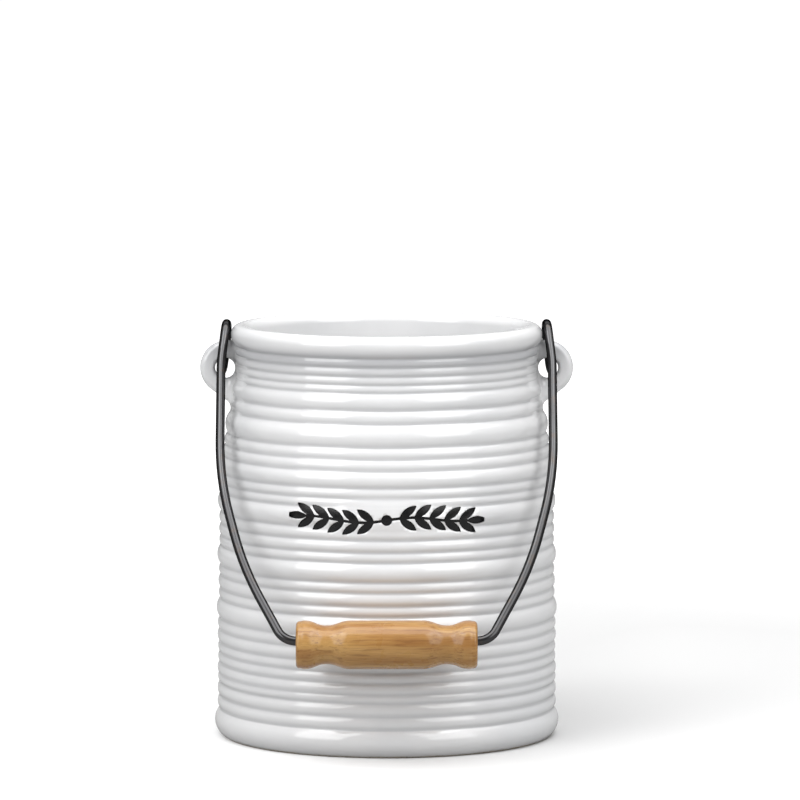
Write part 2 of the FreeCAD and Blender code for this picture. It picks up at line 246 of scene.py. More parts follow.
def remeshed(piece: bpy.types.Object, grain: float) -> None:
    """Give a piece an even mesh of small faces of one size."""
    apply_modifier(piece, "REMESH", mode="VOXEL", voxel_size=grain, use_smooth_shade=True)


def circle_arc(start: Vector, bulge: float, end: Vector, steps: int) -> list[Vector]:
    """Points of an arc in the XZ plane, after its start.

    Args:
        start: First end of the arc.
        bulge: How far the arc's middle stands off the chord, to the right of its direction.
        end: Second end of the arc.
        steps: Number of points, the end among them.

    Returns:
        The points, without the start.
    """
    chord = end - start
    half = chord.length / 2
    radius = (half * half + bulge * bulge) / (2 * bulge)
    side = Vector((chord.z, 0, -chord.x)).normalized()
    centre = (start + end) / 2 + side * (bulge - radius)
    opening = math.asin(min(1.0, half / abs(radius)))
    if abs(bulge) > half:
        opening = math.pi - opening
    points = []
    for i in range(1, steps + 1):
        angle = opening * (2 * i / steps - 1)
        along = chord.normalized() * (abs(radius) * math.sin(angle))
        across = side * (radius * math.cos(angle))
        points.append(centre + along + across)
    return points


def arc_over(start: Vector, middle: Vector, end: Vector, steps: int) -> list[Vector]:
    """Points of an arc in the XZ plane that runs over a third point, after its start.

    Args:
        start: First end of the arc.
        middle: Point that the arc runs over, to the right of the chord's direction.
        end: Second end of the arc.
        steps: Number of points, the end among them.

    Returns:
        The points, without the start.
    """
    length = (end - start).length
    direction = (end - start).normalized()
    along = (middle - start).dot(direction)
    across = (middle - start).dot(Vector((direction.z, 0, -direction.x)))
    lean = (along * (length - along) - across * across) / (2 * across)
    return circle_arc(start, math.hypot(length / 2, lean) - lean, end, steps)


def faded(value: float, start: float, end: float) -> float:
    """1 up to the start and 0 past the end, with a smooth fall in between."""
    share = min(1.0, max(0.0, (value - start) / (end - start)))
    return 1 - share * share * (3 - 2 * share)


# Helpers for materials


class NodeSheet:
    """A node tree that is filled from left to right."""

    def __init__(self, tree: bpy.types.NodeTree) -> None:
        """Start from an empty tree.

        Args:
            tree: The tree to fill.
        """
        self.tree = tree
        tree.nodes.clear()

    def add(self, kind: str, inputs: dict[str | int, object] | None = None,
            **settings: object) -> bpy.types.Node:
        """Add one node.

        Args:
            kind: Blender's name for the node type.
            inputs: Values or output sockets for the node's inputs.
            **settings: Values for the node's own settings.

        Returns:
            The new node.
        """
        node = self.tree.nodes.new(kind)
        node.location = (200 * len(self.tree.nodes), 0)
        for key, value in settings.items():
            setattr(node, key, value)
        for key, value in (inputs or {}).items():
            socket = node.inputs[key]
            if isinstance(value, bpy.types.NodeSocket):
                self.tree.links.new(value, socket)
            else:
                socket.default_value = value
        return node

    def object_coordinates(self, along: float = 1.0,
                           centre: Vector | None = None) -> bpy.types.NodeSocket:
        """Object coordinates, centred and stretched.

        Args:
            along: Scale of the pattern along X, below 1 for a pattern drawn out that way.
            centre: Point that becomes the pattern's middle.

        Returns:
            The coordinates' socket.
        """
        source = self.add("ShaderNodeTexCoord")
        moved = self.add("ShaderNodeMapping", {
            "Vector": source.outputs["Object"], "Location": -(centre or Vector((0, 0, 0)))})
        return self.add("ShaderNodeMapping", {
            "Vector": moved.outputs[0], "Scale": (along, 1, 1)}).outputs[0]

    def noise(self, vector: bpy.types.NodeSocket, scale: float | bpy.types.NodeSocket,
              detail: float = 3.0, roughness: float = 0.5) -> bpy.types.NodeSocket:
        """Noise value from 0 to 1 at a scale."""
        return self.add("ShaderNodeTexNoise", {
            "Vector": vector, "Scale": scale, "Detail": detail, "Roughness": roughness}).outputs[0]

    def ramp(self, value: bpy.types.NodeSocket, span: Span,
             start: float = 0.0, end: float = 1.0) -> bpy.types.NodeSocket:
        """Map a value from a span to start..end, held at both ends."""
        return self.add("ShaderNodeMapRange", {
            "Value": value, "From Min": span[0], "From Max": span[1],
            "To Min": start, "To Max": end}, interpolation_type="SMOOTHSTEP").outputs[0]

    def math(self, operation: str, first: object, second: object) -> bpy.types.NodeSocket:
        """One arithmetic step."""
        return self.add("ShaderNodeMath", {0: first, 1: second}, operation=operation).outputs[0]

    def mix(self, factor: object, first: object, second: object) -> bpy.types.NodeSocket:
        """Blend two colours."""
        return self.add("ShaderNodeMix", {0: factor, 6: first, 7: second},
                        data_type="RGBA").outputs[2]

    def coordinate(self, place: bpy.types.NodeSocket, axis: str) -> bpy.types.NodeSocket:
        """One coordinate of a place."""
        return self.add("ShaderNodeSeparateXYZ", {0: place}).outputs[axis]

    def bump(self, height: bpy.types.NodeSocket, strength: float,
             depth: float) -> bpy.types.NodeSocket:
        """Normal of a surface with small heights."""
        return self.add("ShaderNodeBump", {
            "Height": height, "Strength": strength, "Distance": depth}).outputs[0]


def colour(red: float, green: float, blue: float) -> Colour:
    """Linear colour with full alpha."""
    return (red, green, blue, 1.0)


def handling_group() -> bpy.types.NodeTree:
    """Shader node group: wear and smudges that change a finish's roughness and surface.

    Returns:
        The group, with a roughness and a height output.
    """
    name = "handling marks"
    found = bpy.data.node_groups.get(name)
    if found:
        return found
    tree = bpy.data.node_groups.new(name, "ShaderNodeTree")
    sheet = NodeSheet(tree)
    tree.interface.new_socket(name="Vector", in_out="INPUT", socket_type="NodeSocketVector")
    for label in ("Base Roughness", "Smudge", "Smudge Size", "Fine Size"):
        tree.interface.new_socket(name=label, in_out="INPUT", socket_type="NodeSocketFloat")
    for label in ("Roughness", "Height"):
        tree.interface.new_socket(name=label, in_out="OUTPUT", socket_type="NodeSocketFloat")
    given = sheet.add("NodeGroupInput").outputs
    smudge = sheet.noise(given["Vector"], given["Smudge Size"], 4.0, 0.6)
    fine = sheet.noise(given["Vector"], given["Fine Size"], 2.0)
    rise = sheet.math("MULTIPLY", sheet.ramp(smudge, (0.35, 0.7)), given["Smudge"])
    rough = sheet.math("ADD", rise, given["Base Roughness"])
    height = sheet.math("ADD", sheet.math("MULTIPLY", smudge, 0.7),
                        sheet.math("MULTIPLY", fine, 0.3))
    sheet.add("NodeGroupOutput", {"Roughness": rough, "Height": height})
    return tree


@dataclass(frozen=True)
class Handling:
    """How a finish has worn: its roughness, what smudges add, and the scales of the marks."""

    roughness: float
    smudge: float
    smudge_scale: float
    fine_scale: float

    def marks(self, sheet: NodeSheet, place: bpy.types.NodeSocket) -> bpy.types.NodeOutputs:
        """Put the marks into a material.

        Args:
            sheet: The material's node sheet.
            place: Object coordinates.

        Returns:
            The outputs Roughness and Height.
        """
        return sheet.add("ShaderNodeGroup", {
            "Vector": place, "Base Roughness": self.roughness, "Smudge": self.smudge,
            "Smudge Size": self.smudge_scale, "Fine Size": self.fine_scale},
            node_tree=handling_group()).outputs


@dataclass(frozen=True)
class Finish:
    """A finish, with the name of its material."""

    name: str

    def sheet(self) -> tuple[bpy.types.Material, NodeSheet]:
        """Start the finish's material.

        Returns:
            The new material and its empty node sheet.
        """
        material = bpy.data.materials.new(self.name)
        material.use_nodes = True
        return material, NodeSheet(material.node_tree)

    def close(self, sheet: NodeSheet, inputs: dict[str, object]) -> None:
        """Add the surface shader and the output.

        Args:
            sheet: The material's node sheet.
            inputs: Values or sockets for the surface shader.
        """
        shader = sheet.add("ShaderNodeBsdfPrincipled", inputs)
        sheet.add("ShaderNodeOutputMaterial", {"Surface": shader.outputs[0]})

    def material(self) -> bpy.types.Material:
        """The finished material."""
        raise NotImplementedError


@dataclass(frozen=True)
class WhiteGlaze(Finish):
    """Heavy white gloss glaze, greyer where it has pooled, over buff clay at the base; the grey also
    holds painted shade in the grooves and a painted shadow under the rim.
    """

    white: Colour = colour(0.80, 0.80, 0.805)
    pooled: Colour = colour(0.73, 0.735, 0.745)
    # Painted shade: the darkest grey, laid where glaze has pooled in the grooves and as a painted
    # shadow under the rim.
    thick_glaze_shade: Colour = colour(0.52, 0.525, 0.54)
    clay: Colour = colour(0.62, 0.55, 0.46)
    grit: Colour = colour(0.40, 0.34, 0.27)
    handling: Handling = Handling(0.075, 0.05, 28.0, 420.0)
    cloud_scale: float = 22.0
    edge_scale: float = 130.0
    edge_wander: float = 1.2 * MM
    edge_height: Span = (0.9 * MM, 1.8 * MM)
    grit_scale: float = 900.0
    clay_roughness: float = 0.85
    wave_strength: float = 0.12
    wave_depth: float = 0.4 * MM
    refraction: float = 1.72

    def material(self) -> bpy.types.Material:
        """Mix the finish.

        Returns:
            The finished material.
        """
        material, sheet = self.sheet()
        place = sheet.object_coordinates()
        marks = self.handling.marks(sheet, place)
        cloud = sheet.ramp(sheet.noise(place, self.cloud_scale, 4.0), (0.35, 0.75))
        # The stored attribute greys the glaze: pooled glaze and painted shade in the grooves, painted
        # shadow under the rim.
        pool_shade = sheet.add("ShaderNodeAttribute", attribute_name="pool_shade").outputs["Fac"]
        glaze = sheet.mix(pool_shade, sheet.mix(cloud, self.white, self.pooled), self.thick_glaze_shade)
        wander = sheet.math("MULTIPLY", sheet.noise(place, self.edge_scale), self.edge_wander)
        height = sheet.math("ADD", sheet.coordinate(place, "Z"), wander)
        glazed = sheet.ramp(height, self.edge_height)
        grit = sheet.ramp(sheet.noise(place, self.grit_scale), (0.45, 0.7))
        bare = sheet.mix(grit, self.clay, self.grit)
        rough = sheet.add("ShaderNodeMix", {
            0: glazed, 2: self.clay_roughness, 3: marks["Roughness"]}).outputs[0]
        wave = sheet.bump(marks["Height"], self.wave_strength, self.wave_depth)
        self.close(sheet, {"Base Color": sheet.mix(glazed, bare, glaze), "Roughness": rough,
                           "Normal": wave, "IOR": self.refraction})
        return material


@dataclass(frozen=True)
class BlackEnamel(Finish):
    """Black gloss enamel that has run a little thin in places."""

    black: Colour = colour(0.004, 0.004, 0.0045)
    thin: Colour = colour(0.010, 0.0095, 0.0095)
    handling: Handling = Handling(0.14, 0.12, 220.0, 1500.0)
    thin_scale: float = 500.0
    wave_strength: float = 0.5
    wave_depth: float = 0.2 * MM
    refraction: float = 1.38

    def material(self) -> bpy.types.Material:
        """Mix the finish.

        Returns:
            The finished material.
        """
        material, sheet = self.sheet()
        place = sheet.object_coordinates()
        marks = self.handling.marks(sheet, place)
        thinned = sheet.ramp(sheet.noise(place, self.thin_scale), (0.4, 0.7))
        wave = sheet.bump(marks["Height"], self.wave_strength, self.wave_depth)
        self.close(sheet, {"Base Color": sheet.mix(thinned, self.black, self.thin),
                           "Roughness": marks["Roughness"], "Normal": wave,
                           "IOR": self.refraction})
        return material


@dataclass(frozen=True)
class WireLacquer(Finish):
    """Dark lacquered steel wire with faint rubbed spots and dark edges."""

    dark: Colour = colour(0.068, 0.068, 0.070)
    rubbed: Colour = colour(0.085, 0.072, 0.064)
    edge: Colour = colour(0.2, 0.2, 0.2)
    handling: Handling = Handling(0.09, 0.1, 130.0, 2200.0)
    spot_scale: float = 260.0
    wave_strength: float = 0.15
    wave_depth: float = 0.2 * MM

    def material(self) -> bpy.types.Material:
        """Mix the finish.

        Returns:
            The finished material.
        """
        material, sheet = self.sheet()
        place = sheet.object_coordinates()
        marks = self.handling.marks(sheet, place)
        worn = sheet.ramp(sheet.noise(place, self.spot_scale, 5.0, 0.65), (0.5, 0.75))
        wave = sheet.bump(marks["Height"], self.wave_strength, self.wave_depth)
        self.close(sheet, {"Base Color": sheet.mix(worn, self.dark, self.rubbed),
                           "Roughness": marks["Roughness"], "Metallic": 1.0,
                           "Specular Tint": self.edge, "Normal": wave})
        return material


@dataclass(frozen=True)
class VarnishedWood(Finish):
    """Golden brown wood under satin varnish, its grain running along X."""

    light: Colour = colour(0.48, 0.275, 0.088)
    middle: Colour = colour(0.36, 0.172, 0.046)
    dark: Colour = colour(0.165, 0.062, 0.017)
    centre: Vector = Vector((0, -85.66 * MM, 51.4 * MM))
    band_stretch: float = 0.10
    dash_stretch: float = 0.06
    fibre_stretch: float = 0.03
    drift_scale: float = 240.0
    broad_scale: float = 90.0
    dash_scale: float = 1150.0
    fibre_scale: float = 2400.0
    broad_share: float = 0.4
    dash_share: float = 0.5
    pore_share: float = 0.4
    handling: Handling = Handling(0.26, 0.14, 90.0, 900.0)
    wave_strength: float = 0.22
    wave_depth: float = 0.2 * MM
    refraction: float = 1.28
    varnish: float = 0.6
    varnish_roughness: float = 0.09

    def material(self) -> bpy.types.Material:
        """Mix the finish.

        Returns:
            The finished material.
        """
        material, sheet = self.sheet()
        place = sheet.object_coordinates(centre=self.centre)
        bands = sheet.object_coordinates(self.band_stretch, self.centre)
        dashes = sheet.object_coordinates(self.dash_stretch, self.centre)
        fibres = sheet.object_coordinates(self.fibre_stretch, self.centre)
        drift = sheet.noise(bands, self.drift_scale, 3.0, 0.55)
        broad = sheet.noise(bands, self.broad_scale, 2.0)
        dash = sheet.noise(dashes, self.dash_scale, 3.0, 0.6)
        fibre = sheet.noise(fibres, self.fibre_scale, 4.0, 0.65)
        tone = sheet.mix(sheet.ramp(drift, (0.32, 0.68)), self.light, self.middle)
        for streak, span, share in ((broad, (0.45, 0.7), self.broad_share),
                                    (dash, (0.5, 0.68), self.dash_share),
                                    (fibre, (0.5, 0.75), self.pore_share)):
            depth = sheet.math("MULTIPLY", sheet.ramp(streak, span), share)
            tone = sheet.mix(depth, tone, self.dark)
        marks = self.handling.marks(sheet, place)
        surface = sheet.math("SUBTRACT", marks["Height"], fibre)
        wave = sheet.bump(surface, self.wave_strength, self.wave_depth)
        self.close(sheet, {"Base Color": tone, "Roughness": marks["Roughness"],
                           "Normal": wave, "IOR": self.refraction,
                           "Coat Weight": self.varnish, "Coat Roughness": self.varnish_roughness})
        return material


def dress(piece: bpy.types.Object, material: bpy.types.Material) -> None:
    """Give a piece one material on all its faces.

    Args:
        piece: The piece, new or carried over.
        material: The material.
    """
    if not piece.data.materials:
        piece.data.materials.append(material)
    for slot in piece.material_slots:
        slot.material = material


# The pieces


@dataclass
class CrockPot:
    """The thrown pot: flat base, rounded foot, ribbed wall with a smooth panel, rolled rim."""

    height: float = 182.3 * MM
    body_radius: float = 74.0 * MM
    neck_draw_in: float = 7.9 * MM
    wall: float = 5.2 * MM
    floor: float = 7.0 * MM
    inner_corner: float = 9.0 * MM
    inner_corner_steps: int = 10
    inner_wall_steps: int = 8
    floor_rings: tuple[float, ...] = (0.75, 0.5, 0.25, 0.0)
    shoulder_groove: int = -9
    throat_groove: int = -3
    throat_pull: float = 0.45
    throat_steps: int = 16
    foot_height: float = 12.2 * MM
    foot_overhang: float = 2.24 * MM
    foot_bulge_height: float = 6.2 * MM
    foot_steps: int = 16
    base_setback: float = 1.7 * MM
    base_rings: tuple[float, ...] = (0, 0.25, 0.5, 0.75, 0.9, 0.96, 1.0)
    rim_height: float = 9.5 * MM
    rim_overhang: float = 2.7 * MM
    rim_thickness: float = 8.5 * MM
    rim_underside_setback: float = 0.55 * MM
    rim_underside_height: float = 2.4 * MM
    rim_underside_steps: int = 12
    rim_roll_steps: int = 20
    rib_swell: float = 0.19
    rib_step: float = 0.95 * MM
    rib_least_steps: int = 5
    rib_heights: tuple[float, ...] = (
        5.8, 5.9, 3.9, 5.0, 4.6, 4.5, 5.7, 5.1, 8.7, 4.6, 5.8, 4.6, 8.6, 4.4, 5.3,
        5.4, 8.8, 4.0, 4.4, 7.3, 5.0, 5.1, 9.8, 5.9, 7.5, 3.4, 3.7, 3.9, 3.9)
    draw_ins: tuple[float, ...] = (
        0.00, 0.00, 0.00, 0.00, 0.00, 0.00, 0.00, 0.01, 0.05, 0.06, 0.07, 0.07, 0.08, 0.09, 0.10,
        0.11, 0.12, 0.14, 0.17, 0.25, 0.36, 0.47, 0.71, 0.84, 0.96, 1.00, 1.00, 0.98, 0.94)
    shallow_rib: int = 2
    shallow_groove: float = 0.36 * MM
    panel_ribs: tuple[int, int] = (15, 18)
    panel_standout: float = 0.7 * MM
    panel_curve_shift: float = 7.4 * MM
    panel_edge_drop: float = 1.5 * MM
    panel_fill: float = 2.5 * MM
    panel_wall_share: float = 0.6
    panel_steps: int = 40
    panel_steps_round: int = 512
    stamp_reach: float = 3 * MM
    stamp_facing: float = 0.6
    steps_round: int = 256
    smooth_below: float = 38.0
    # Pooled glaze with painted shade in the grooves, and a painted shadow band at the rim's
    # underside.
    pool_shade_in_groove: float = 0.55
    pool_shade_groove_width: float = 0.9 * MM
    pool_shade_wall_reach: float = 1.0 * MM
    shade_below_rim: float = 6 * MM
    shade_on_rim: float = 2.4 * MM

    @cached_property
    def grooves(self) -> list[Vector]:
        """Bottoms of the grooves.

        Returns:
            Points in the XZ plane, from the foot up.
        """
        top = self.height - self.rim_height
        scale = (top - self.foot_height) / sum(self.rib_heights)
        points = [Vector((self.body_radius, 0, self.foot_height))]
        for i, (rise, draw_in) in enumerate(zip(self.rib_heights, self.draw_ins)):
            radius = self.body_radius - draw_in * self.neck_draw_in
            if i == self.shallow_rib:
                radius += self.shallow_groove
            points.append(Vector((radius, 0, points[-1].z + rise * scale)))
        return points

    def rim(self) -> list[Vector]:
        """Outline of the rolled rim.

        Returns:
            Points in the XZ plane, from its underside over its top to its inner side.
        """
        start = self.grooves[-1]
        outer_radius = self.body_radius - self.neck_draw_in + self.rim_overhang
        roll = self.rim_thickness / 2
        spring = self.height - roll
        outer = Vector((outer_radius, 0, spring))
        belly = Vector((outer_radius - self.rim_underside_setback, 0,
                        start.z + self.rim_underside_height))
        inner = Vector((outer_radius - self.rim_thickness, 0, spring))
        return (arc_over(start, belly, outer, self.rim_underside_steps)
                + circle_arc(outer, roll, inner, self.rim_roll_steps))

    def inside(self) -> list[Vector]:
        """Outline of the smooth inside.

        Returns:
            Points in the XZ plane, from the rim's inner side to the middle of the floor.
        """
        belly = self.body_radius - self.wall
        throat = belly - self.neck_draw_in
        shoulder = self.grooves[self.shoulder_groove].z
        top = self.grooves[self.throat_groove].z
        pull = self.throat_pull * (top - shoulder)
        poles = (Vector((throat, 0, top)), Vector((throat, 0, top - pull)),
                 Vector((belly, 0, shoulder + pull)), Vector((belly, 0, shoulder)))
        points = []
        for i in range(self.throat_steps + 1):
            t = i / self.throat_steps
            points.append(poles[0] * (1 - t) ** 3 + poles[1] * (3 * t * (1 - t) ** 2)
                          + poles[2] * (3 * t * t * (1 - t)) + poles[3] * t ** 3)
        low = Vector((belly, 0, self.floor + self.inner_corner))
        for i in range(1, self.inner_wall_steps + 1):
            points.append(poles[3].lerp(low, i / self.inner_wall_steps))
        bulge = self.inner_corner * (1 - math.sqrt(0.5))
        edge = Vector((belly - self.inner_corner, 0, self.floor))
        points += circle_arc(low, bulge, edge, self.inner_corner_steps)
        return points + [Vector((edge.x * ring, 0, self.floor)) for ring in self.floor_rings]

    def outline(self) -> list[Vector]:
        """Outline of the pot.

        Returns:
            Points in the XZ plane, from the middle of the base to the middle of the floor.
        """
        base_radius = self.body_radius - self.base_setback
        points = [Vector((base_radius * ring, 0, 0)) for ring in self.base_rings]
        foot = Vector((self.body_radius + self.foot_overhang, 0, self.foot_bulge_height))
        points += arc_over(points[-1], foot, self.grooves[0], self.foot_steps)
        for lower, upper in zip(self.grooves, self.grooves[1:]):
            rise = (upper - lower).length
            steps = max(self.rib_least_steps, round(rise / self.rib_step))
            points += circle_arc(lower, self.rib_swell * rise, upper, steps)
        return points + self.rim() + self.inside()

    def wall_radius(self, height: float) -> float:
        """Radius of the ribbed wall at a height, the rim's roll left out.

        Args:
            height: Height over the base.

        Returns:
            The radius there.
        """
        if height >= self.grooves[-1].z:
            return self.grooves[-1].x
        for lower, upper in zip(self.grooves, self.grooves[1:]):
            if lower.z <= height < upper.z:
                rise = upper.z - lower.z
                share = (height - lower.z) / rise
                swell = 4 * self.rib_swell * rise * share * (1 - share)
                return lower.x + (upper.x - lower.x) * share + swell
        return self.body_radius

    def panel_barrel(self) -> bpy.types.Object:
        """Barrel whose front is the surface of the smooth panel.

        Returns:
            The barrel, a helper object.
        """
        low, high = (self.grooves[i].z for i in self.panel_ribs)
        radius = (self.body_radius + self.panel_standout - self.panel_curve_shift
                  - self.panel_edge_drop)
        start = Vector((radius, 0, low))
        end = Vector((radius, 0, high))
        points = [start] + circle_arc(start, self.panel_edge_drop, end, self.panel_steps)
        barrel = turned("panel barrel", points, self.panel_steps_round)
        with editing(barrel):
            bpy.ops.mesh.select_all(action="SELECT")
            bpy.ops.transform.translate(value=(0, -self.panel_curve_shift, 0))
        return barrel

    def smooth_panel(self, pot: bpy.types.Object) -> None:
        """Fill the grooves on the front up to the panel's surface.

        Args:
            pot: The turned pot.
        """
        barrel = self.panel_barrel()
        low, high = (self.grooves[i].z for i in self.panel_ribs)
        least = self.body_radius - self.panel_wall_share * self.wall

        def on_front(place: Vector) -> bool:
            return place.y < 0 and low < place.z < high and math.hypot(place.x, place.y) > least

        with editing(pot):
            pick_vertices(pot, on_front)
            group = pot.vertex_groups.new(name="panel")
            pot.vertex_groups.active_index = group.index
            bpy.ops.object.vertex_group_assign()
        apply_modifier(pot, "SHRINKWRAP", target=barrel, wrap_method="PROJECT",
                       use_project_y=True, use_negative_direction=True,
                       use_positive_direction=False, project_limit=self.panel_fill,
                       vertex_group="panel")
        bpy.data.objects.remove(barrel)

    def press_spray(self, pot: bpy.types.Object, enamel: bpy.types.Object) -> None:
        """Press the leaf spray into the panel, in the outline of its enamel.

        Args:
            pot: The turned pot.
            enamel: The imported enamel, which fills the bottom of the pressed shape.
        """
        stamp = copied("spray stamp", enamel)
        close_seams(stamp)
        with editing(stamp):
            pick_faces(stamp, lambda normal: normal.y < -self.stamp_facing)
            extrude((0, -self.stamp_reach, 0))
        combine(pot, stamp, Join.CUT)

    def pool_and_shade(self, place: Vector) -> float:
        """How far the glaze has pooled in the grooves, with painted shade there, and the painted
        shadow band under the rim.

        Args:
            place: Place on the pot or a lug.

        Returns:
            The darkening, from 0 to 1.
        """
        out = math.hypot(place.x, place.y) - self.wall_radius(place.z)
        if out < -self.pool_shade_wall_reach or place.z < self.grooves[0].z:
            return 0.0
        # Groove darkening: partly real pooled glaze, partly painted shade.
        nearest = min(abs(groove.z - place.z) for groove in self.grooves)
        closeness = max(0.0, 1 - max(0.0, out) / self.pool_shade_wall_reach)
        pool_shade = self.pool_shade_in_groove * math.exp(-(nearest / self.pool_shade_groove_width) ** 2)
        # Painted shadow: a dark band under the rim and on its underside, where the rim's overhang
        # shades the neck.
        above = place.z - self.grooves[-1].z
        spread = self.shade_below_rim if above < 0 else self.shade_on_rim
        return min(1.0, pool_shade * closeness + math.exp(-(above / spread) ** 2))

    def write_pool_and_shade(self, piece: bpy.types.Object, share: Callable[[Vector], float]) -> None:
        """Store the pooled glaze and painted shade in the piece's mesh.

        Args:
            piece: The pot or a lug.
            share: How much of the pooled glaze and painted shade stays at a place, from 0 to 1.
        """
        pool_shade_values = piece.data.attributes.new("pool_shade", "FLOAT", "POINT")
        for vertex, pool_shade in zip(piece.data.vertices, pool_shade_values.data):
            pool_shade.value = self.pool_and_shade(vertex.co) * share(vertex.co)

    def build(self, enamel: bpy.types.Object) -> bpy.types.Object:
        """Model the pot.

        Args:
            enamel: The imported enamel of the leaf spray.

        Returns:
            The pot.
        """
        pot = turned("crock_pot", self.outline(), self.steps_round)
        self.smooth_panel(pot)
        self.press_spray(pot, enamel)
        activate(pot)
        bpy.ops.object.shade_smooth_by_angle(angle=math.radians(self.smooth_below))
        self.write_pool_and_shade(pot, lambda place: 1.0)
        return pot


@dataclass
class LeafSpray:
    """Black enamel that has flowed into the pressed leaf spray and set with rounded edges."""

    grain: float = 0.16 * MM
    rounds: int = 10

    def build(self, packed: bpy.types.Object) -> bpy.types.Object:
        """Model the enamel.

        Args:
            packed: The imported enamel, sharp at its edges.

        Returns:
            The enamel.
        """
        spray = copied("leaf_spray", packed)
        close_seams(spray)
        remeshed(spray, self.grain)
        apply_modifier(spray, "SMOOTH", factor=0.5, iterations=self.rounds)
        return spray


@dataclass
class LugSkin:
    """Lug that grows out of the pot's wall with a broad concave root and a smooth pad beside it."""

    crock: CrockPot
    grain: float = 0.38 * MM
    even_rounds: int = 4
    root_rounds: int = 260
    patch_half_width: float = 31 * MM
    patch_low: float = 134 * MM
    patch_high: float = 178 * MM
    patch_near: float = 45 * MM
    patch_far: float = 85 * MM
    root_half_width: float = 22 * MM
    root_fade: float = 5 * MM
    root_low: float = 143.5 * MM
    root_depth: float = 4.6 * MM
    root_above_rim: float = 1.5 * MM
    root_below_rim: float = 1.0 * MM
    root_pool_shade_loss: float = 0.75
    border_sink: float = 0.08 * MM
    border_steps: tuple[float, ...] = (0.3 * MM, 0.9 * MM, 1.5 * MM)
    border_reach: float = 1.5 * MM
    border_tuck: float = 1.5 * MM
    hidden_depth: float = 1.2 * MM
    flare_out: float = 68.8 * MM
    flare_half_thickness: float = 3.0 * MM
    flare_bend: Vector = Vector((0.8 * MM, 0.6 * MM, 0))
    flare_steps: int = 8
    flare_low: float = 145 * MM
    flare_full: float = 157 * MM
    flare_high: float = 172.6 * MM
    flare_low_width: float = 0.45
    flare_low_setback: float = 3.2 * MM
    flare_back: float = 4 * MM
    pad_radius: float = 67.3 * MM
    pad_start: float = 9 * MM
    pad_half_width: float = 20 * MM
    pad_steps: int = 6
    pad_edge: float = 25 * MM
    pad_edge_sink: float = 0.5 * MM
    hole_radius: float = 4.5 * MM
    hole_centre: Vector = Vector((71.3 * MM, 0, 162.9 * MM))
    hole_length: float = 60 * MM
    hole_steps: int = 64

    def flare(self) -> bpy.types.Object:
        """Web with concave sides that widens from the lug's plate to a smooth pad on the wall.

        Returns:
            The web, a helper object.
        """
        neck = self.crock.body_radius - self.crock.neck_draw_in

        def on_circle(radius: float, across: float) -> Vector:
            return Vector((math.sqrt(radius ** 2 - across ** 2), across, 0))

        tip = Vector((self.flare_out, self.flare_half_thickness, 0))
        pad = on_circle(self.pad_radius, self.pad_start)
        bend = Vector((pad.x, self.flare_half_thickness, 0)) + self.flare_bend
        half = []
        for i in range(self.flare_steps + 1):
            t = i / self.flare_steps
            half.append(tip * (1 - t) ** 2 + bend * (2 * t * (1 - t)) + pad * t * t)
        pad_step = (self.pad_half_width - self.pad_start) / self.pad_steps
        for i in range(1, self.pad_steps + 1):
            half.append(on_circle(self.pad_radius, self.pad_start + i * pad_step))
        side = on_circle(neck - self.pad_edge_sink, self.pad_edge)
        half += [side, Vector((neck - 2 * self.crock.wall, self.pad_edge, 0))]
        outline = half + [Vector((p.x, -p.y, 0)) for p in reversed(half)]
        levels = (self.flare_low, self.flare_full, self.flare_high)
        web = traced("lug_web", [place + Vector((0, 0, levels[0])) for place in outline])
        with editing(web):
            bpy.ops.mesh.select_all(action="SELECT")
            bpy.ops.mesh.edge_face_add()
            for lower, upper in zip(levels, levels[1:]):
                extrude((0, 0, upper - lower))
            bpy.ops.mesh.select_all(action="SELECT")
            bpy.ops.mesh.normals_make_consistent(inside=False)
            pick_vertices(web, lambda place: place.z < levels[0] + 0.1 * MM
                          and place.x > side.x - self.flare_back)
            bpy.ops.transform.resize(value=(1, self.flare_low_width, 1),
                                     center_override=(0, 0, 0))
            bpy.ops.transform.translate(value=(-self.flare_low_setback, 0, 0))
        return web

    def bore(self, lug: bpy.types.Object) -> None:
        """Open the lug's hole again through the web.

        Args:
            lug: The lug, united with its web.
        """
        deselect_all()
        bpy.ops.mesh.primitive_cylinder_add(
            vertices=self.hole_steps, radius=self.hole_radius, depth=self.hole_length,
            location=self.hole_centre, rotation=(math.pi / 2, 0, 0))
        combine(lug, bpy.context.object, Join.CUT)

    def wall_patch(self, pot: bpy.types.Object) -> bpy.types.Object:
        """Piece of the pot's wall that lies behind the lug.

        Args:
            pot: The finished pot.

        Returns:
            The patch, closed all round.
        """
        patch = copied("lug_patch", pot)
        deselect_all()
        middle = ((self.patch_near + self.patch_far) / 2, 0, (self.patch_low + self.patch_high) / 2)
        extent = (self.patch_far - self.patch_near, 2 * self.patch_half_width,
                  self.patch_high - self.patch_low)
        bpy.ops.mesh.primitive_cube_add(size=1, location=middle, scale=extent)
        block = bpy.context.object
        bpy.ops.object.transform_apply(location=True, scale=True)
        combine(patch, block, Join.KEEP_INSIDE)
        return patch

    def off_wall(self, place: Vector) -> float:
        """How far a place stands off the pot's ribbed wall."""
        return math.hypot(place.x, place.y) - self.crock.wall_radius(place.z)

    def closeness(self, place: Vector) -> float:
        """How much the root's rounding acts.

        Args:
            place: Place on the lug or the wall behind it.

        Returns:
            The strength, from 0 to 1.
        """
        rim = self.crock.height - self.crock.rim_height
        out = faded(self.off_wall(place), 0.25 * self.root_depth, self.root_depth)
        across = faded(abs(place.y), self.root_half_width, self.root_half_width + self.root_fade)
        below = faded(self.root_low - place.z, 0, self.root_fade)
        above = faded(place.z, rim - self.root_below_rim, rim + self.root_above_rim)
        return out * across * below * above

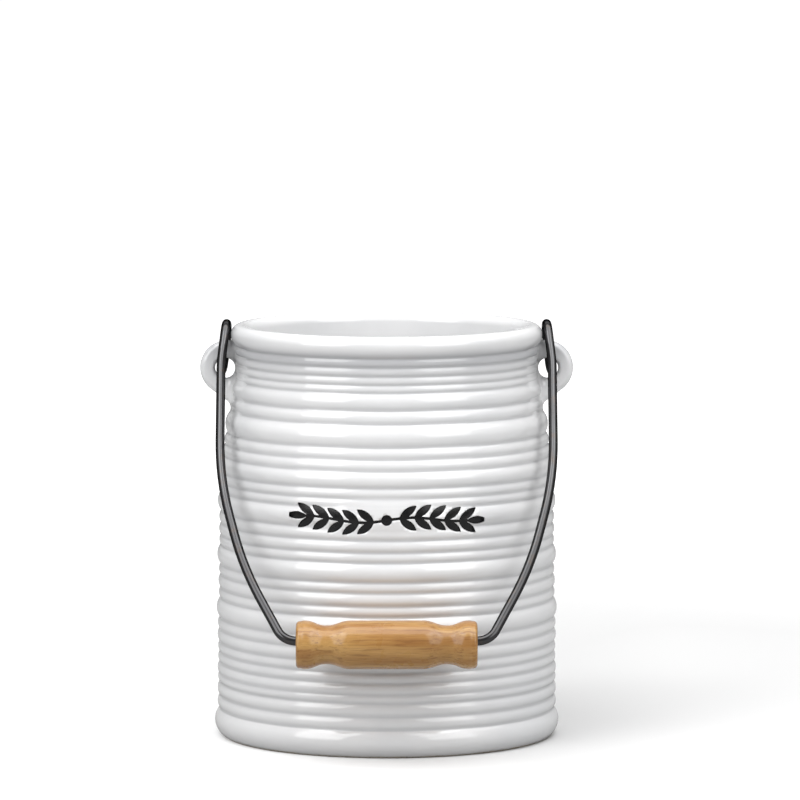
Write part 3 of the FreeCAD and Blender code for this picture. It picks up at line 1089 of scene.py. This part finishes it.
    def weigh(self, piece: bpy.types.Object) -> str:
        """Put the root's rounding into a vertex group.

        Args:
            piece: The remeshed lug and patch.

        Returns:
            The group's name.
        """
        group = piece.vertex_groups.new(name="root")
        for vertex in piece.data.vertices:
            group.add([vertex.index], self.closeness(vertex.co), "REPLACE")
        return group.name

    def trim(self, piece: bpy.types.Object) -> None:
        """Take the patch away round the root and tuck the border under the pot's surface.

        Args:
            piece: The lug with its rounded root.
        """
        edge = self.root_half_width + self.root_fade
        low = self.root_low - self.root_fade
        high = self.crock.height - self.crock.rim_height + self.root_above_rim

        def beyond(place: Vector, inset: float) -> bool:
            return self.off_wall(place) < self.border_reach and (
                abs(place.y) > edge - inset or place.z < low + inset or place.z > high - inset)

        with editing(piece):
            for inset in self.border_steps:
                pick_vertices(piece, lambda place: beyond(place, inset))
                bpy.ops.transform.shrink_fatten(value=-self.border_sink)
            pick_vertices(piece, lambda place: beyond(place, 0)
                          or self.off_wall(place) < -self.hidden_depth)
            bpy.ops.mesh.delete(type="VERT")
            bpy.ops.mesh.select_all(action="SELECT")
            bpy.ops.mesh.region_to_loop()
            extrude((-self.border_tuck, 0, 0))

    def build(self, name: str, packed: bpy.types.Object,
              pot: bpy.types.Object) -> bpy.types.Object:
        """Model the right lug.

        Args:
            name: Name of the new piece.
            packed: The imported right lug.
            pot: The finished pot.

        Returns:
            The lug.
        """
        lug = copied(name, packed)
        close_seams(lug)
        combine(lug, self.flare(), Join.UNITE)
        combine(lug, self.wall_patch(pot), Join.UNITE)
        self.bore(lug)
        remeshed(lug, self.grain)
        group = self.weigh(lug)
        apply_modifier(lug, "SMOOTH", factor=0.5, iterations=self.even_rounds)
        apply_modifier(lug, "SMOOTH", factor=0.5, iterations=self.root_rounds, vertex_group=group)
        self.trim(lug)
        # Less pooled glaze and painted shade over the rounded root.
        self.crock.write_pool_and_shade(
            lug, lambda place: 1 - self.root_pool_shade_loss * self.closeness(place))
        return lug

    def mirrored(self, name: str, lug: bpy.types.Object) -> bpy.types.Object:
        """Model the left lug as a mirrored copy with its own mesh.

        Args:
            name: Name of the new piece.
            lug: The right lug.

        Returns:
            The left lug.
        """
        left = copied(name, lug)
        with editing(left):
            bpy.ops.mesh.select_all(action="SELECT")
            bpy.ops.transform.mirror(constraint_axis=(True, False, False),
                                     center_override=(0, 0, 0))
            bpy.ops.mesh.flip_normals()
        return left


# The studio


@dataclass(frozen=True)
class SoftBox:
    """Rectangular lamp that faces the crock.

    The azimuth is in degrees to the right of the camera's side, the elevation in degrees over the
    horizon, both as seen from the crock. The power is in watts.
    """

    name: str
    azimuth: float
    elevation: float
    distance: float
    size: tuple[float, float]
    power: float
    mirrored: bool = True

    def hang(self, middle: Vector) -> None:
        """Hang the lamp.

        Args:
            middle: The crock's middle, which the lamp faces.
        """
        lamp = bpy.data.lights.new(self.name, "AREA")
        lamp.shape = "RECTANGLE"
        lamp.size, lamp.size_y = self.size
        lamp.energy = self.power
        turn, lift = math.radians(self.azimuth), math.radians(self.elevation)
        away = Vector((math.sin(turn) * math.cos(lift), -math.cos(turn) * math.cos(lift),
                       math.sin(lift)))
        holder = bpy.data.objects.new(self.name, lamp)
        holder.location = middle + away * self.distance
        holder.rotation_euler = away.to_track_quat("Z", "Y").to_euler()
        holder.visible_glossy = self.mirrored
        bpy.context.scene.collection.objects.link(holder)


@dataclass
class Studio:
    """Pale floor, white surroundings, soft boxes and the camera."""

    middle: Vector = Vector((0, 0, 90 * MM))
    camera_height: float = 411.9 * MM
    camera_distance: float = 2640 * MM
    camera_pitch: float = 5.697
    camera_yaw: float = -0.128
    lens: float = 270.0
    sensor: float = 36.0
    floor_size: float = 80.0
    floor_tones: tuple[Colour, Colour] = (colour(0.415, 0.415, 0.415), colour(0.425, 0.425, 0.425))
    floor_seen: Colour = colour(0.70, 0.70, 0.70)
    white: Colour = colour(1, 1, 1)
    white_from: Span = (0.22, 1.2)
    # Painted light on the floor: a glow left of the crock and a weaker one far to its right lighten
    # the shadow there.
    left_span: Span = (-0.09, 0.03)
    left_painted_light: float = 0.34
    right_span: Span = (0.07, 0.15)
    right_painted_light: float = 0.07
    mirrored_air: float = 0.4
    mirrored_floor: float = 0.1
    air_light: float = 0.08
    lamps: tuple[SoftBox, ...] = (
        SoftBox("left soft box", -47, 33, 1.5, (0.95, 1.5), 13),
        SoftBox("right soft box", 45, 33, 1.5, (0.95, 1.4), 9.5),
        SoftBox("overhead soft box", 0, 78, 1.6, (2.2, 1.3), 29),
        SoftBox("side soft box", 85, 50, 1.6, (0.8, 0.8), 3),
        SoftBox("front fill", 0, 35, 2.9, (1.0, 0.8), 3, mirrored=False),
        SoftBox("rear fill", 180, 55, 1.6, (1.5, 0.8), 4.8))

    def shown(self, sheet: NodeSheet, mirrored: float) -> bpy.types.NodeSocket:
        """How white the background is for a ray: full for the eye and through glass.

        Args:
            sheet: The node sheet of the floor or the world.
            mirrored: How white it is in a glossy surface.

        Returns:
            The strength's socket.
        """
        path = sheet.add("ShaderNodeLightPath").outputs
        through = sheet.math("MAXIMUM", path["Is Camera Ray"], path["Is Transmission Ray"])
        glossy = sheet.math("MULTIPLY", path["Is Glossy Ray"], mirrored)
        return sheet.math("MAXIMUM", through, glossy)

    def floor(self) -> None:
        """Pale floor that keeps the shadow and shows white elsewhere, with painted light that
        lightens the shadow left of the crock and far to its right.
        """
        deselect_all()
        bpy.ops.mesh.primitive_plane_add(size=self.floor_size, location=(0, 0, 0))
        floor = bpy.context.object
        floor.name = "studio_floor"
        with editing(floor):
            bpy.ops.mesh.subdivide(number_cuts=3)
        material = bpy.data.materials.new("pale floor")
        material.use_nodes = True
        sheet = NodeSheet(material.node_tree)
        place = sheet.object_coordinates()
        seen = sheet.add("ShaderNodeLightPath").outputs["Is Camera Ray"]
        tone = sheet.mix(sheet.noise(place, 3.0), *self.floor_tones)
        matt = sheet.add("ShaderNodeBsdfDiffuse", {
            "Color": sheet.mix(seen, tone, self.floor_seen)})
        distance = sheet.add("ShaderNodeVectorMath", {0: place}, operation="LENGTH")
        across = sheet.coordinate(place, "X")
        # Painted light: glows that lighten the floor's shadow left of the crock and far to its right.
        left = sheet.ramp(across, self.left_span, self.left_painted_light, 0.0)
        right = sheet.ramp(across, self.right_span, 0.0, self.right_painted_light)
        far = sheet.ramp(distance.outputs["Value"], self.white_from)
        white = sheet.math("MAXIMUM", far, sheet.math("ADD", left, right))
        strength = sheet.math("MULTIPLY", self.shown(sheet, self.mirrored_floor), white)
        glow = sheet.add("ShaderNodeEmission", {"Color": self.white, "Strength": strength})
        both = sheet.add("ShaderNodeAddShader", {0: matt.outputs[0], 1: glow.outputs[0]})
        sheet.add("ShaderNodeOutputMaterial", {"Surface": both.outputs[0]})
        dress(floor, material)

    def world(self) -> None:
        """White surroundings for the eye, softer in reflections and as a light."""
        world = bpy.data.worlds.new("studio")
        bpy.context.scene.world = world
        world.use_nodes = True
        sheet = NodeSheet(world.node_tree)
        shown = self.shown(sheet, self.mirrored_air)
        strength = sheet.ramp(shown, (0.0, 1.0), self.air_light, 1.0)
        air = sheet.add("ShaderNodeBackground", {"Color": self.white, "Strength": strength})
        sheet.add("ShaderNodeOutputWorld", {"Surface": air.outputs[0]})

    def camera(self) -> None:
        """Camera at the photograph's place."""
        camera = bpy.data.cameras.new("camera")
        camera.lens = self.lens
        camera.sensor_width = self.sensor
        camera.clip_end = 50
        holder = bpy.data.objects.new("camera", camera)
        holder.location = (0, -self.camera_distance, self.camera_height)
        holder.rotation_euler = (math.radians(90 - self.camera_pitch), 0,
                                 math.radians(self.camera_yaw))
        bpy.context.scene.collection.objects.link(holder)
        bpy.context.scene.camera = holder

    def build(self) -> None:
        """Set the whole studio up."""
        self.floor()
        self.world()
        self.camera()
        for lamp in self.lamps:
            lamp.hang(self.middle)
        bpy.context.scene.view_settings.view_transform = "Standard"


def settle(piece: bpy.types.Object, material: bpy.types.Material, packed: str) -> None:
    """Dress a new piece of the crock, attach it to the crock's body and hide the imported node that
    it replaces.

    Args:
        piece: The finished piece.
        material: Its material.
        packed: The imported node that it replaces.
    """
    dress(piece, material)
    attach(piece, Body.CROCK.value)
    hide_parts(packed)
    LOG.info("%s: %d faces", piece.name, len(piece.data.polygons))


def main() -> None:
    """Build the crock's pieces and the studio in order."""
    logging.basicConfig(level=logging.INFO, format="%(message)s")
    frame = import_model()
    nodes = frame["nodes"]

    crock = CrockPot()
    glaze = WhiteGlaze("white glaze").material()
    pot = crock.build(nodes["leaf_spray_enamel"])
    settle(pot, glaze, "crock_body")

    skin = LugSkin(crock)
    right = skin.build("lug_skin_right", nodes["lug_right"], pot)
    left = skin.mirrored("lug_skin_left", right)
    settle(right, glaze, "lug_right")
    settle(left, glaze, "lug_left")

    spray = LeafSpray().build(nodes["leaf_spray_enamel"])
    settle(spray, BlackEnamel("black enamel").material(), "leaf_spray_enamel")

    for body, node, finish in ((Body.BAIL, "bail_wire", WireLacquer("wire lacquer")),
                               (Body.GRIP, "wooden_grip", VarnishedWood("varnished wood"))):
        dress(nodes[node], finish.material())
        LOG.info("%s: carried over on the body %s", node, body.value)

    Studio().build()
    deselect_all()


if __name__ == "__main__":
    main()
